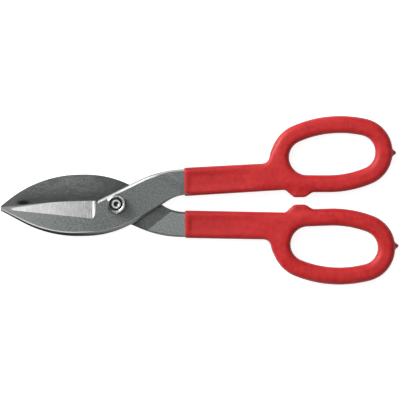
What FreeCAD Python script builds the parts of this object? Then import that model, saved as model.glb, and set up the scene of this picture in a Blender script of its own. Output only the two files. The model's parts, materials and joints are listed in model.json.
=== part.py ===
"""Straight-pattern tin snips: two forged halves that cross at a bolted pivot, each with a dipped bow handle.

Every length is in millimetres. The halves are drawn flat in the pivot frame: the pivot is at the origin,
the blades point to -X, the handles to +X, and the plane where the blades slide on each other is z = 0.
The front half carries the lower blade and the upper handle and lies above that plane. The rear half is the
same forging turned half a turn about X. Last of all, everything is moved to the row frame, whose origin is
the middle of the bounding box's bottom face, so the snips lie on z = 0 with the pivot nut on top.
"""

import FreeCAD
import Part
import math
import os
import Sketcher
from FreeCAD import Placement, Rotation, Vector

# Driving dimensions: alias, value, meaning. Outline corners are x and y in the pivot frame.
DIMENSIONS = [
    # Forged outline of one half, with its corner radii
    ("blade_reach", 87.6, "pivot axis to the blade tips"),
    ("bow_x", 52.2, "crown of the bowed cutting edge, ahead of the pivot"),
    ("bow_y", 2.87, "height of that crown over the axis"),
    ("bow_round", 500.0, "radius of the bowed cutting edge"),
    ("heel_y", 2.7, "height of the cutting edge's end, the heel, over the axis"),
    ("shank_round", 80.0, "radius of the outer bend of the shank into the handle"),
    ("tang_outer_x", 121.0, "end of the tang's outer side, inside the bow"),
    ("tang_outer_y", 28.1, "height of that end"),
    ("tang_inner_x", 130.0, "end of the tang's inner side, inside the bow"),
    ("tang_inner_y", 9.75, "height of that end"),
    ("crotch_round", 30.0, "radius of the inner bend of the shank into the handle"),
    ("belly_rear_x", 1.8, "where the belly turns up to the shank, ahead of the pivot"),
    ("belly_rear_round", 75.0, "radius of that turn"),
    ("belly_front_round", 87.0, "radius of the turn up to the tip"),
    ("tip_round", 0.5, "radius of the blunted tip"),
    # Where hand dressing makes the two halves differ
    ("front_tip_edge_y", -1.2, "front cutting edge at the tip"),
    ("rear_tip_edge_y", 2.3, "rear cutting edge at the tip"),
    ("front_tip_spine_y", -3.6, "front spine at the tip"),
    ("rear_tip_spine_y", -0.1, "rear spine at the tip"),
    ("front_belly_y", 23.75, "deepest point of the front blade's spine, below the axis"),
    ("rear_belly_y", 22.75, "deepest point of the rear blade's spine"),
    ("front_belly_x", 51.0, "where the front belly turns up to the tip, ahead of the pivot"),
    ("rear_belly_x", 58.0, "where the rear belly turns up to the tip"),
    ("front_heel_x", 15.2, "end of the front cutting edge, ahead of the pivot"),
    ("rear_heel_x", 17.3, "end of the rear cutting edge"),
    ("front_shank_x", 32.7, "outer bend of the front shank into the handle"),
    ("rear_shank_x", 31.2, "outer bend of the rear shank"),
    ("front_shank_y", 24.9, "height of the front shank's outer bend"),
    ("rear_shank_y", 25.2, "height of the rear shank's outer bend"),
    ("front_crotch_x", 45.0, "inner bend of the front shank into the handle"),
    ("rear_crotch_x", 42.0, "inner bend of the rear shank"),
    ("front_crotch_y", 5.9, "height of the front shank's inner bend"),
    ("rear_crotch_y", 6.5, "height of the rear shank's inner bend"),
    ("front_mouth_y", 5.05, "inner side of the front coating at its mouth"),
    ("rear_mouth_y", 5.7, "inner side of the rear coating at its mouth"),
    ("front_ring_out", 0.3, "how far the front bow's end stands beyond its drawn place"),
    ("rear_ring_out", 1.0, "how far the rear bow's end stands beyond its drawn place"),
    # Thickness and the machined faces
    ("shear_half", 0.05, "half the clearance between the two sliding faces"),
    ("face_z", 5.65, "height of the forged outer face over the shear plane"),
    ("clear_z", 10.65, "height over the shear plane at which the cuts into the outer face start"),
    ("core_half", 4.5, "half thickness of the tang and the bow"),
    ("spine_bevel", 3.3, "width of the bevel round the belly of the spine"),
    ("spine_lean", 0.95, "how much nearer its turns stand to each other than the belly's own"),
    ("crotch_bevel", 0.8, "width of the same bevel where it ends at the crotch"),
    ("spine_slope", 45.0, "lean of that bevel from the upright, in degrees"),
    ("spine_deep", 4.5, "depth of the cut that makes it"),
    ("edge_break", 1.4, "small bevel on the underside's edges"),
    ("taper_x", 17.5, "where the blade starts to thin, ahead of the pivot"),
    ("tip_z", 3.1, "height of the outer face at the tip"),
    ("cheek_land", 1.6, "height of the land left under the ground cheek, at the heel"),
    ("cheek_angle", 16.75, "slope of the ground cheek in degrees"),
    ("cheek_end_x", 15.6, "end of the cheek, ahead of the pivot"),
    ("cheek_round", 3.2, "radius that the grinding wheel leaves at the cheek's end"),
    ("cheek_tall", 9.0, "height of the cut that clears the cheek"),
    ("lap_far_x", 130.0, "far end of the milled lap, beyond the tip"),
    ("lap_reach", 45.0, "half width of the milled lap"),
    ("lap_top_x", 9.9, "lap's shoulder line at its upper end, ahead of the pivot"),
    ("lap_bottom_x", 108.5, "lap's shoulder line at its lower end, behind the pivot"),
    ("ramp_angle", 52.8, "direction in which the outer face ramps down, in degrees from +X"),
    ("ramp_start", 34.9, "start of that ramp, measured from the pivot along its direction"),
    ("ramp_end", 41.5, "end of the ramp"),
    ("ramp_round", 14.0, "radius at the foot of the ramp"),
    ("ramp_far", 150.0, "far end of the thinner handle, beyond the bow"),
    ("outer_bevel", 2.2, "width of the bevel from the throat along the shank and the tang"),
    ("outer_lean", 0.5, "how much farther from the pivot its bend stands than the outline's own"),
    ("outer_start", 0.7, "gap between the heel and the start of that bevel, along X"),
    ("outer_start_y", 0.59, "height of that start over the axis"),
    ("outer_round", 77.8, "radius of its bend"),
    ("outer_slope", 35.0, "lean of that bevel from the upright, in degrees"),
    ("outer_deep", 3.5, "depth of the cut that makes it"),
    # Bow handle: corners and radii of its centre line
    ("ring1_x", 131.3, "first corner, at the stop lug"),
    ("ring1_y", 13.2, "height of the first corner"),
    ("ring1_round", 19.7, "radius at the first corner"),
    ("ring2_x", 175.0, "second corner, along the inner side"),
    ("ring2_y", 12.3, "height of the second corner"),
    ("ring2_round", 79.1, "radius at the second corner"),
    ("ring3_x", 201.4, "third corner, at the far end"),
    ("ring3_y", 22.4, "height of the third corner"),
    ("ring3_round", 19.0, "radius at the third corner"),
    ("ring4_x", 203.1, "fourth corner, at the far end"),
    ("ring4_y", 51.7, "height of the fourth corner"),
    ("ring4_round", 19.0, "radius at the fourth corner"),
    ("ring5_x", 160.4, "fifth corner, along the outer side"),
    ("ring5_y", 60.7, "height of the fifth corner"),
    ("ring5_round", 83.3, "radius at the fifth corner"),
    ("ring6_x", 117.6, "last corner, beyond the tang"),
    ("ring6_y", 43.1, "height of the last corner"),
    ("ring6_round", 19.3, "radius at the last corner"),
    ("rod_half", 5.4, "half width of the bow's steel rod"),
    ("rod_round", 3.2, "rounding of the steel rod's section"),
    # Stop lug that meets its twin when the snips are fully shut
    ("lug_y", 3.85, "steel face of the lug, above the axis"),
    ("lug_root_y", 12.0, "depth of its root in the bow"),
    ("lug_x0", 125.2, "root of the lug on the tang's side"),
    ("lug_x1", 134.5, "start of the lug's flat face"),
    ("lug_x2", 141.9, "end of the flat face"),
    ("lug_x3", 154.7, "root of the lug on the bow's side"),
    ("lug_thick", 7.0, "thickness of the lug"),
    # Dipped coating
    ("coat", 1.1, "thickness of the dipped coating"),
    ("mouth_x", 51.2, "where the coating starts"),
    ("mouth_outer_y", 26.6, "outer side of the coating at its mouth"),
    ("sleeve_outer_x", 113.0, "end of the straight coating's outer side, at the bow"),
    ("sleeve_outer_y", 28.8, "height of that end"),
    ("web_low_x", 115.4, "web of coating between the tang and the bow, lower corner"),
    ("web_low_y", 31.2, "height of that corner"),
    ("web_high_x", 117.3, "upper corner of the web"),
    ("web_high_y", 38.6, "height of that corner"),
    ("web_deep_x", 124.0, "end of the web inside the bow"),
    ("web_deep_y", 30.0, "height of that end"),
    ("sleeve_inner_x", 131.5, "end of the straight coating's inner side, inside the bow"),
    ("sleeve_inner_y", 8.65, "height of that end"),
    ("sleeve_round", 3.2, "rounding of the coating along the tang"),
    ("bow_coat_half", 5.85, "half thickness of the coated bow"),
    ("bow_coat_round", 4.3, "rounding of the coated bow's section"),
    ("bump_y", 2.7, "face of the coated lug, above the axis"),
    ("bump_x0", 123.5, "root of the coated lug on the tang's side"),
    ("bump_x1", 133.9, "start of its flat face"),
    ("bump_x2", 142.4, "end of its flat face"),
    ("bump_x3", 156.5, "root of the coated lug on the bow's side"),
    ("bump_thick", 9.6, "thickness of the coated lug"),
    ("bump_round", 1.2, "rounding of the coated lug"),
    ("drip_y", 35.2, "height of the drip left at the end of the bow"),
    ("drip_root_x", 206.6, "root of the drip, inside the coating"),
    ("drip_root_radius", 4.0, "radius of its root"),
    ("drip_long", 5.2, "length of the drip"),
    ("drip_tip_radius", 0.8, "radius of its tip"),
    # Pivot: M8 bolt and lock nut
    ("bolt_radius", 4.0, "thread and shank of the M8 bolt"),
    ("bolt_running", 0.05, "radial clearance of the front half on the bolt"),
    ("neck_half", 4.0, "half side of the square neck that keeps the bolt from turning in the rear half"),
    ("neck_play", 0.05, "clearance round the neck"),
    ("neck_long", 4.9, "length of the neck"),
    ("head_radius", 8.2, "round head under the rear half"),
    ("head_thick", 3.2, "thickness of the head"),
    ("head_bevel", 1.2, "bevel round the head"),
    ("bolt_bevel", 0.75, "bevel on the bolt's end"),
    ("bolt_proud", 0.7, "bolt's end above the nut's collar"),
    ("dimple_radius", 2.0, "lathe centre in the bolt's end"),
    ("dimple_deep", 1.2, "depth of the lathe centre"),
    ("nut_float", 0.05, "clearance between the nut and the turning half"),
    ("nut_flats", 13.0, "nut across its flats"),
    ("nut_hex", 5.5, "height of the nut's six-sided part"),
    ("nut_crest", 6.35, "radius at which the bevel on the nut's corners starts"),
    ("nut_slope", 3.8, "drop of that bevel over the rest of the nut's width"),
    ("collar_radius", 6.1, "round collar over the six-sided part"),
    ("collar_high", 2.5, "height of the collar"),
    ("collar_root", 1.0, "how deep the collar's foot reaches into the six-sided part"),
    ("collar_round", 0.5, "rounding of the collar's rim"),
    ("lip_radius", 4.85, "opening in the collar's rolled lip"),
    ("lip_drop", 0.45, "how much the lip's top face falls toward the opening"),
    ("lip_thick", 0.75, "thickness of the lip at the rim"),
    ("thread_play", 0.02, "clearance round the bolt's thread"),
    ("insert_radius", 5.3, "outer radius of the nylon ring"),
    ("insert_high", 1.9, "height of the nylon ring"),
    # Where the pivot stands in the row frame, filled in at the end from the finished shapes
    ("row_x", 0.0, "pivot axis along X"),
    ("row_y", 0.0, "pivot axis along Y"),
    ("row_z", 0.0, "shear plane over the ground"),
]

SAME = 1e-4  # two coordinates closer than this are the same

doc = FreeCAD.newDocument("tin_snips")
dims = doc.addObject("Spreadsheet::Sheet", "dims")


def fill_sheet():
    """One row per driving dimension: its name, its value and what it means."""
    for row, (alias, value, meaning) in enumerate(DIMENSIONS, start=1):
        dims.set(f"A{row}", alias)
        dims.set(f"B{row}", str(value))
        dims.set(f"C{row}", meaning)
        dims.setAlias(f"B{row}", alias)
    doc.recompute()


def size(alias):
    """The number in the sheet's cell of that name."""
    return float(dims.get(alias))


def corner(x, y, radius=None):
    """An outline's corner: expressions for x and y, their values, and the cell that holds its radius."""
    return {"x": x, "y": y, "radius": radius}


def cell(expression):
    """The value of an expression made of cell names joined by + and -, such as "-core_half + coat"."""
    total = 0.0
    sign = 1.0
    for word in expression.replace("-", " - ").replace("+", " + ").split():
        if word in "+-":
            sign = 1.0 if word == "+" else -1.0
            continue
        total += sign * (float(word) if word[0].isdigit() else size(word))
        sign = 1.0
    return total


def minus(expression):
    """The same expression with every sign turned."""
    flipped = expression.replace("+", "#").replace("-", "+").replace("#", "-")
    return f"- {flipped}"


def bound(expression):
    """The same expression as FreeCAD reads it, with every name looked up in the sheet."""
    words = expression.replace("-", " - ").replace("+", " + ").split()
    return " ".join(word if word in "+-" or word[0].isdigit() else f"dims.{word}" for word in words)


def origin_plane(body, role):
    """One of the body's own origin planes, such as XY_Plane."""
    for feature in body.Origin.OriginFeatures:
        if feature.Role == role:
            return feature
    raise ValueError(role)


def new_sketch(body, name, role="XY_Plane", at=("", "", ""), axis=Vector(0, 0, 1), turned=""):
    """A sketch on one of the body's origin planes, moved and turned in the sketch's own axes by the sheet."""
    sketch = body.newObject("Sketcher::SketchObject", name)
    sketch.AttachmentSupport = [(origin_plane(body, role), "")]
    sketch.MapMode = "FlatFace"
    if turned:
        sketch.AttachmentOffset = Placement(Vector(), Rotation(axis, cell(turned)))
        sketch.setExpression("AttachmentOffset.Rotation.Angle", f"({bound(turned)}) * 1 deg")
    for letter, expression in zip("xyz", at):
        if expression:
            sketch.setExpression(f"AttachmentOffset.Base.{letter}", bound(expression))
    return sketch


def arc_at(point, before, after, radius):
    """Start, middle and end of the arc that rounds the corner at point between its two neighbours."""
    to_before = (before - point).normalize()
    to_after = (after - point).normalize()
    half = to_before.getAngle(to_after) / 2
    reach = radius / math.tan(half)
    start = point + to_before * reach
    end = point + to_after * reach
    centre = point + (to_before + to_after).normalize() * (radius / math.sin(half))
    middle = centre + (point - centre).normalize() * radius
    return start, middle, end


def draw_outline(sketch, corners):
    """Draws a closed outline of lines and tangent arcs, fully constrained, with its corners tied to the sheet."""
    points = [Vector(cell(c["x"]), cell(c["y"]), 0) for c in corners]
    count = len(points)
    arcs = {}
    for i, c in enumerate(corners):
        if c["radius"]:
            arcs[i] = arc_at(points[i], points[i - 1], points[(i + 1) % count], size(c["radius"]))
    lines = []
    for i in range(count):
        j = (i + 1) % count
        start = arcs[i][2] if i in arcs else points[i]
        end = arcs[j][0] if j in arcs else points[j]
        lines.append(sketch.addGeometry(Part.LineSegment(start, end), False))
    for i, c in enumerate(corners):
        line_in, line_out = lines[i - 1], lines[i]
        if i in arcs:
            arc = sketch.addGeometry(Part.Arc(*arcs[i]), False)
            turn = (points[i] - points[i - 1]).cross(points[(i + 1) % count] - points[i]).z
            first, last = (1, 2) if turn > 0 else (2, 1)
            sketch.addConstraint(Sketcher.Constraint("Tangent", line_in, 2, arc, first))
            sketch.addConstraint(Sketcher.Constraint("Tangent", arc, last, line_out, 1))
            rule = sketch.addConstraint(Sketcher.Constraint("Radius", arc, size(c["radius"])))
            sketch.setExpression(f"Constraints[{rule}]", bound(c["radius"]))
            at = sketch.addGeometry(Part.Point(points[i]), True)
            sketch.addConstraint(Sketcher.Constraint("PointOnObject", at, 1, line_in))
            sketch.addConstraint(Sketcher.Constraint("PointOnObject", at, 1, line_out))
        else:
            at = line_out
            sketch.addConstraint(Sketcher.Constraint("Coincident", line_in, 2, line_out, 1))
        tie_point(sketch, at, c)
    return sketch


def tie_point(sketch, geometry, c):
    """Ties a geometry's first point to the sheet."""
    for kind, expression in (("DistanceX", c["x"]), ("DistanceY", c["y"])):
        rule = sketch.addConstraint(Sketcher.Constraint(kind, -1, 1, geometry, 1, cell(expression)))
        sketch.setExpression(f"Constraints[{rule}]", bound(expression))


def extrude(body, kind, name, sketch, length="", side="One side", reversed_side=False):
    """A PartDesign Pad or Pocket whose length is tied to the sheet. With no length it goes through everything."""
    feature = body.newObject(f"PartDesign::{kind}", name)
    feature.Profile = sketch
    feature.SideType = side
    feature.Reversed = reversed_side
    if length:
        feature.setExpression("Length", bound(length))
    else:
        feature.Type = "ThroughAll"
    doc.recompute()
    return feature


def dress_edges(body, kind, name, test, amount):
    """A PartDesign Chamfer or Fillet on every edge of the body's newest shape that passes the test."""
    base = body.Tip
    chosen = [f"Edge{number}" for number, edge in enumerate(base.Shape.Edges, start=1) if test(edge)]
    feature = body.newObject(f"PartDesign::{kind}", name)
    feature.Base = (base, chosen)
    feature.setExpression("Size" if kind == "Chamfer" else "Radius", bound(amount))
    doc.recompute()
    return feature


def inner_points(edge):
    """Five points along an edge, without its two ends."""
    return edge.discretize(7)[1:-1]


def is_level(value, expression):
    """Whether a coordinate lies at the place that the expression gives."""
    return abs(value - cell(expression)) < SAME


# ---------------------------------------------------------------- forged halves

def outline_corners(half):
    """Corners of one half from its tip along the cutting edge, the shank, the tang and back by the spine."""
    return [
        corner("-blade_reach", f"{half}_tip_edge_y"),
        corner("-bow_x", "bow_y", "bow_round"),
        corner(f"-{half}_heel_x", "heel_y"),
        corner(f"{half}_shank_x", f"{half}_shank_y", "shank_round"),
        corner("tang_outer_x", "tang_outer_y"),
        corner("tang_inner_x", "tang_inner_y"),
        corner(f"{half}_crotch_x", f"{half}_crotch_y", "crotch_round"),
        corner("-belly_rear_x", f"-{half}_belly_y", "belly_rear_round"),
        corner(f"-{half}_belly_x", f"-{half}_belly_y", "belly_front_round"),
        corner("-blade_reach", f"{half}_tip_spine_y"),
    ]


def forge_blank(body, half):
    """The whole half at full thickness, with its spine bevelled and its underside's edges broken."""
    outline = new_sketch(body, "half_outline", at=("", "", "-core_half"))
    draw_outline(outline, outline_corners(half))
    extrude(body, "Pad", "forging", outline, "core_half + face_z")

    def on_underside(edge):
        return all(is_level(point.z, "-core_half") for point in inner_points(edge))

    dress_edges(body, "Chamfer", "under_slope", on_underside, "edge_break")


def bevel_spine(body, half):
    """The bevel along the spine: wide round the belly, and narrowing along the shank to the crotch."""
    sketch = new_sketch(body, "spine_outline", at=("", "", "face_z"))
    draw_outline(sketch, [
        corner("-lap_far_x", f"{half}_tip_spine_y + spine_bevel"),
        corner("-lap_far_x", "-lap_reach"),
        corner("tang_inner_x", "-lap_reach"),
        corner("tang_inner_x", "tang_inner_y + crotch_bevel"),
        corner(f"{half}_crotch_x", f"{half}_crotch_y + crotch_bevel", "crotch_round"),
        corner("-belly_rear_x - spine_lean", f"-{half}_belly_y + spine_bevel", "belly_rear_round"),
        corner(f"-{half}_belly_x + spine_lean", f"-{half}_belly_y + spine_bevel", "belly_front_round"),
        corner("-blade_reach", f"{half}_tip_spine_y + spine_bevel"),
    ])
    bevel_cut(body, "spine_cut", sketch, "spine_deep", "spine_slope")


def bevel_cut(body, name, sketch, depth, slope):
    """A cut down from the outer face whose walls lean, so that the outline that it follows is left bevelled."""
    feature = extrude(body, "Pocket", name, sketch, depth)
    feature.setExpression("TaperAngle", f"-1 * dims.{slope}")
    doc.recompute()


def mill_lap(body):
    """The milled lap: everything under the sliding face, up to the shoulder where the handle starts."""
    sketch = new_sketch(body, "lap_outline", at=("", "", "shear_half"))
    draw_outline(sketch, [
        corner("-lap_far_x", "lap_reach"),
        corner("-lap_far_x", "-lap_reach"),
        corner("lap_bottom_x", "-lap_reach"),
        corner("-lap_top_x", "lap_reach"),
    ])
    extrude(body, "Pocket", "lap", sketch)


def thin_blade(body):
    """The outer face falls in a plane from the heel to the tip."""
    sketch = new_sketch(body, "taper_outline", "XZ_Plane")
    draw_outline(sketch, [
        corner("0", "face_z"),
        corner("-taper_x", "face_z"),
        corner("-blade_reach", "tip_z"),
        corner("-blade_reach", "clear_z"),
        corner("0", "clear_z"),
    ])
    extrude(body, "Pocket", "taper", sketch, side="Symmetric")


def grind_cheek(body):
    """The ground cheek along the cutting edge, which ends in a hollow shoulder behind the heel."""
    sketch = new_sketch(
        body, "cheek_outline", "XZ_Plane",
        at=("", "cheek_land", "-heel_y"), axis=Vector(1, 0, 0), turned="-cheek_angle",
    )
    draw_outline(sketch, [
        corner("-lap_far_x", "0"),
        corner("-cheek_end_x", "0", "cheek_round"),
        corner("-cheek_end_x", "cheek_tall"),
        corner("-lap_far_x", "cheek_tall"),
    ])
    extrude(body, "Pocket", "cheek", sketch, side="Symmetric")


def ramp_to_handle(body):
    """The outer face ramps down to the thinner tang beyond the pivot."""
    sketch = new_sketch(body, "ramp_outline", "XZ_Plane", axis=Vector(0, 1, 0), turned="ramp_angle")
    draw_outline(sketch, [
        corner("ramp_start", "face_z"),
        corner("ramp_end", "core_half", "ramp_round"),
        corner("ramp_far", "core_half"),
        corner("ramp_far", "clear_z"),
        corner("ramp_start", "clear_z"),
    ])
    extrude(body, "Pocket", "ramp", sketch, side="Symmetric")


def bevel_outer_side(body, half):
    """The bevel along the outer side, from behind the heel over the throat and the shank to the tang."""
    sketch = new_sketch(body, "outer_outline", at=("", "", "face_z"))
    draw_outline(sketch, [
        corner(f"-{half}_heel_x + outer_start", "outer_start_y"),
        corner(f"{half}_shank_x + outer_lean", f"{half}_shank_y - outer_bevel", "outer_round"),
        corner("tang_outer_x", "tang_outer_y - outer_bevel"),
        corner("tang_outer_x", "lap_reach"),
        corner("-lap_reach", "lap_reach"),
    ])
    bevel_cut(body, "outer_cut", sketch, "outer_deep", "outer_slope")


def round_tip(body):
    """The blunted tip: its two upright edges are rounded."""
    def is_upright(edge):
        if len(edge.Vertexes) < 2:
            return False
        start, end = (vertex.Point for vertex in edge.Vertexes)
        at_tip = is_level(start.x, "-blade_reach") and is_level(end.x, "-blade_reach")
        return at_tip and abs(start.y - end.y) < SAME

    dress_edges(body, "Fillet", "tip_rounding", is_upright, "tip_round")


def drill_pivot(body, square):
    """The pivot hole: square in the rear half for the bolt's neck, round in the front half."""
    sketch = new_sketch(body, "pivot_hole")
    if square:
        near = "neck_half + neck_play"
        far = minus(near)
        draw_outline(sketch, [corner(near, near), corner(far, near), corner(far, far), corner(near, far)])
    else:
        draw_circle(sketch, "bolt_radius + bolt_running")
    extrude(body, "Pocket", "pivot_bore", sketch, side="Symmetric")


def draw_circle(sketch, radius):
    """A circle round the sketch's origin, with its radius from the sheet."""
    circle = sketch.addGeometry(Part.Circle(Vector(), Vector(0, 0, 1), cell(radius)), False)
    sketch.addConstraint(Sketcher.Constraint("Coincident", circle, 3, -1, 1))
    rule = sketch.addConstraint(Sketcher.Constraint("Radius", circle, cell(radius)))
    sketch.setExpression(f"Constraints[{rule}]", bound(radius))


def ring_corners(half):
    """Corners of the bow's centre line, whose far end stands a little farther out on one half."""
    return [
        corner("ring1_x", "ring1_y", "ring1_round"),
        corner("ring2_x", "ring2_y", "ring2_round"),
        corner(f"ring3_x + {half}_ring_out", "ring3_y", "ring3_round"),
        corner(f"ring4_x + {half}_ring_out", "ring4_y", "ring4_round"),
        corner("ring5_x", "ring5_y", "ring5_round"),
        corner("ring6_x", "ring6_y", "ring6_round"),
    ]


def add_ring(body, name, half, half_width, half_height, section_round):
    """A closed rod of rounded section along the bow's centre line."""
    path = new_sketch(body, f"{name}_path")
    draw_outline(path, ring_corners(half))
    doc.recompute()
    section = body.newObject("Sketcher::SketchObject", f"{name}_section")
    section.AttachmentSupport = [(path, "Edge1")]
    section.MapMode = "NormalToEdge"
    draw_outline(section, [
        corner(half_width, half_height, section_round),
        corner(minus(half_width), half_height, section_round),
        corner(minus(half_width), minus(half_height), section_round),
        corner(half_width, minus(half_height), section_round),
    ])
    doc.recompute()
    ring = body.newObject("PartDesign::AdditivePipe", f"{name}_ring")
    ring.Profile = section
    ring.Spine = path
    ring.Mode = "Frenet"
    doc.recompute()
    return ring


def add_lug(body):
    """The stop lug on the bow's inner side: a low block with a flat face."""
    sketch = new_sketch(body, "lug_outline")
    draw_outline(sketch, [
        corner("lug_x0", "lug_root_y"),
        corner("lug_x1", "lug_y"),
        corner("lug_x2", "lug_y"),
        corner("lug_x3", "lug_root_y"),
    ])
    extrude(body, "Pad", "lug", sketch, "lug_thick", side="Symmetric")


def make_half(half, square):
    """One forged half with its blade, shank, tang, bow and pivot hole, in its own frame."""
    body = doc.addObject("PartDesign::Body", f"{half}_half")
    forge_blank(body, half)
    bevel_spine(body, half)
    mill_lap(body)
    thin_blade(body)
    grind_cheek(body)
    ramp_to_handle(body)
    bevel_outer_side(body, half)
    round_tip(body)
    drill_pivot(body, square)
    add_ring(body, "rod", half, "rod_half", "core_half", "rod_round")
    add_lug(body)
    return body


# ---------------------------------------------------------------- dipped grips

def make_sleeve(half):
    """The coating round the tang."""
    body = doc.addObject("PartDesign::Body", f"{half}_sleeve")
    sketch = new_sketch(body, "sleeve_outline")
    draw_outline(sketch, [
        corner("mouth_x", "mouth_outer_y"),
        corner("mouth_x", f"{half}_mouth_y"),
        corner("sleeve_inner_x", "sleeve_inner_y"),
        corner("web_deep_x", "web_deep_y"),
        corner("web_high_x", "web_high_y"),
        corner("web_low_x", "web_low_y"),
        corner("sleeve_outer_x", "sleeve_outer_y"),
    ])
    extrude(body, "Pad", "sleeve", sketch, "core_half + core_half + coat + coat", side="Symmetric")
    half_long = (size("sleeve_outer_x") - size("mouth_x")) / 2

    def runs_along(edge):
        return abs(edge.Vertexes[1].X - edge.Vertexes[0].X) > half_long

    dress_edges(body, "Fillet", "sleeve_rounding", runs_along, "sleeve_round")
    return body


def make_coated_bow(half):
    """The coating round the bow."""
    body = doc.addObject("PartDesign::Body", f"{half}_bow")
    add_ring(body, "coat", half, "rod_half + coat", "bow_coat_half", "bow_coat_round")
    return body


def make_bump(half):
    """The coating round the stop lug."""
    body = doc.addObject("PartDesign::Body", f"{half}_bump")
    sketch = new_sketch(body, "bump_outline")
    draw_outline(sketch, [
        corner("bump_x0", "lug_root_y"),
        corner("bump_x1", "bump_y"),
        corner("bump_x2", "bump_y"),
        corner("bump_x3", "lug_root_y"),
    ])
    extrude(body, "Pad", "bump", sketch, "bump_thick", side="Symmetric")

    def on_face(edge):
        return any(is_level(vertex.Y, "bump_y") for vertex in edge.Vertexes)

    dress_edges(body, "Fillet", "bump_rounding", on_face, "bump_round")
    return body


def make_drip(half):
    """The pointed drip that the coating leaves at the far end of the bow, a cone along +X."""
    drip = doc.addObject("Part::Cone", f"{half}_drip")
    drip.setExpression("Radius1", bound("drip_root_radius"))
    drip.setExpression("Radius2", bound("drip_tip_radius"))
    drip.setExpression("Height", bound("drip_long"))
    drip.Placement = Placement(Vector(), Rotation(Vector(0, 1, 0), 90))
    drip.setExpression("Placement.Base.x", bound(f"drip_root_x + {half}_ring_out"))
    drip.setExpression("Placement.Base.y", bound("drip_y"))
    return drip


def make_grip(half, steel):
    """One grip: the coating's parts joined together, hollowed by the steel that they cover."""
    coat = doc.addObject("Part::MultiFuse", f"{half}_coat")
    coat.Shapes = [make_sleeve(half), make_coated_bow(half), make_bump(half), make_drip(half)]
    doc.recompute()
    grip = doc.addObject("Part::Cut", f"{half}_grip")
    grip.Base = coat
    grip.Tool = steel
    doc.recompute()
    return grip


# ---------------------------------------------------------------- pivot

def turn_on_axis(body, kind, name, corners):
    """A PartDesign Revolution or Groove of an outline in the plane of X and Z round the pivot axis."""
    sketch = new_sketch(body, f"{name}_outline", "XZ_Plane")
    draw_outline(sketch, corners)
    feature = body.newObject(f"PartDesign::{kind}", name)
    feature.Profile = sketch
    feature.ReferenceAxis = (sketch, ["V_Axis"])
    feature.Angle = 360
    doc.recompute()
    return feature


def make_bolt(name):
    """The pivot bolt: low round head, square neck, shank, and a bevelled end with its lathe centre."""
    body = doc.addObject("PartDesign::Body", name)
    head_foot = "- face_z - head_thick"
    end = "face_z + nut_float + nut_hex + collar_high + bolt_proud"
    turn_on_axis(body, "Revolution", "bolt_turning", [
        corner("0", head_foot),
        corner("head_radius - head_bevel", head_foot),
        corner("head_radius", f"{head_foot} + head_bevel"),
        corner("head_radius", "- face_z"),
        corner("bolt_radius", "- face_z"),
        corner("bolt_radius", f"{end} - bolt_bevel"),
        corner("bolt_radius - bolt_bevel", end),
        corner("dimple_radius", end),
        corner("0", f"{end} - dimple_deep"),
    ])
    square = new_sketch(body, "neck_outline", at=("", "", "-face_z"))
    near, far = "neck_half", "-neck_half"
    draw_outline(square, [corner(near, near), corner(far, near), corner(far, far), corner(near, far)])
    extrude(body, "Pad", "neck", square, "neck_long")
    return body


def make_nut(name):
    """The lock nut: six-sided part with bevelled corners, round collar, cavity for the nylon ring, bore."""
    body = doc.addObject("PartDesign::Body", name)
    foot = "face_z + nut_float"
    hexagon = body.newObject("PartDesign::AdditivePrism", "hexagon")
    hexagon.AttachmentSupport = [(origin_plane(body, "XY_Plane"), "")]
    hexagon.MapMode = "FlatFace"
    hexagon.Polygon = 6
    hexagon.AttachmentOffset = Placement(Vector(), Rotation(Vector(0, 0, 1), 90))
    hexagon.setExpression("Circumradius", "dims.nut_flats / sqrt(3)")
    hexagon.setExpression("Height", bound("nut_hex"))
    hexagon.setExpression("AttachmentOffset.Base.z", bound(foot))
    doc.recompute()
    top = f"{foot} + nut_hex"
    rim = "nut_flats"
    turn_on_axis(body, "Groove", "upper_bevel", [
        corner("nut_crest", top),
        corner(rim, top),
        corner(rim, f"{top} - nut_slope"),
    ])
    turn_on_axis(body, "Groove", "lower_bevel", [
        corner("nut_crest", foot),
        corner(rim, f"{foot} + nut_slope"),
        corner(rim, foot),
    ])
    turn_on_axis(body, "Revolution", "collar", [
        corner("0", f"{top} - collar_root"),
        corner("collar_radius", f"{top} - collar_root"),
        corner("collar_radius", f"{top} + collar_high", "collar_round"),
        corner("lip_radius", f"{top} + collar_high - lip_drop"),
        corner("0", f"{top} + collar_high - lip_drop"),
    ])
    ceiling = f"{top} + collar_high - lip_thick"
    turn_on_axis(body, "Groove", "insert_cavity", [
        corner("0", f"{ceiling} - insert_high"),
        corner("insert_radius", f"{ceiling} - insert_high"),
        corner("insert_radius", ceiling),
        corner("lip_radius", ceiling),
        corner("lip_radius", f"{top} + collar_high"),
        corner("0", f"{top} + collar_high"),
    ])
    bore = new_sketch(body, "bore_outline")
    draw_circle(bore, "bolt_radius + thread_play")
    extrude(body, "Pocket", "bore", bore, side="Symmetric")
    return body


def make_insert(name):
    """The nylon ring that the nut's collar holds and that grips the bolt's thread."""
    body = doc.addObject("PartDesign::Body", name)
    foot = "face_z + nut_float + nut_hex + collar_high - lip_thick - insert_high"
    turn_on_axis(body, "Revolution", "ring", [
        corner("bolt_radius + thread_play", foot),
        corner("insert_radius", foot),
        corner("insert_radius", f"{foot} + insert_high"),
        corner("bolt_radius + thread_play", f"{foot} + insert_high"),
    ])
    return body


# ---------------------------------------------------------------- assembly

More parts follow.
